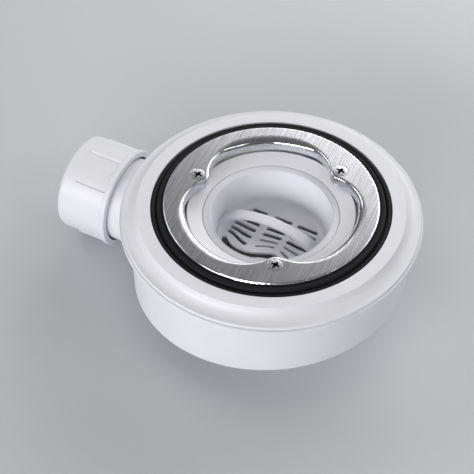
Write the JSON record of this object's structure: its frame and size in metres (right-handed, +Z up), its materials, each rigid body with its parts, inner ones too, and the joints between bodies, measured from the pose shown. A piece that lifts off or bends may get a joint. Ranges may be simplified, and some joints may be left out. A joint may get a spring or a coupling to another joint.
{
  "type": "shower trap",
  "caption": "Low shower-tray trap: white moulded bowl with wide flange, side outlet with union nut, black gaskets, brushed lobed clamp ring with screws, and a lift-out slotted strainer basket.",
  "frame": {"origin": "centre of the sump's flat underside, on the waste axis", "axes": "+Z up along the waste axis, -X along the outlet, +Y across, to make a right-handed set"},
  "size_m": [0.1934, 0.1548, 0.068],
  "materials": {
    "white_polypropylene": "moulded, semi-matte",
    "black_rubber": "moulded, satin",
    "brushed_stainless": "fine linear brushing",
    "screw_stainless": "bright",
    "insert_brass": "turned"
  },
  "bodies": {
    "root": {"trap_bowl": "white_polypropylene", "trap_sump": "white_polypropylene", "outlet_spigot": "white_polypropylene", "body_cover": "white_polypropylene", "lower_gasket": "black_rubber", "upper_gasket": "black_rubber", "clamp_ring": "brushed_stainless", "clamp_screws": "screw_stainless", "screw_inserts": "insert_brass", "trap_insert": "white_polypropylene", "insert_o_ring": "black_rubber", "strainer_basket": "white_polypropylene", "coupling_nut": "white_polypropylene", "thrust_washer": "white_polypropylene", "pipe_seal": "black_rubber"}
  },
  "joints": []
}
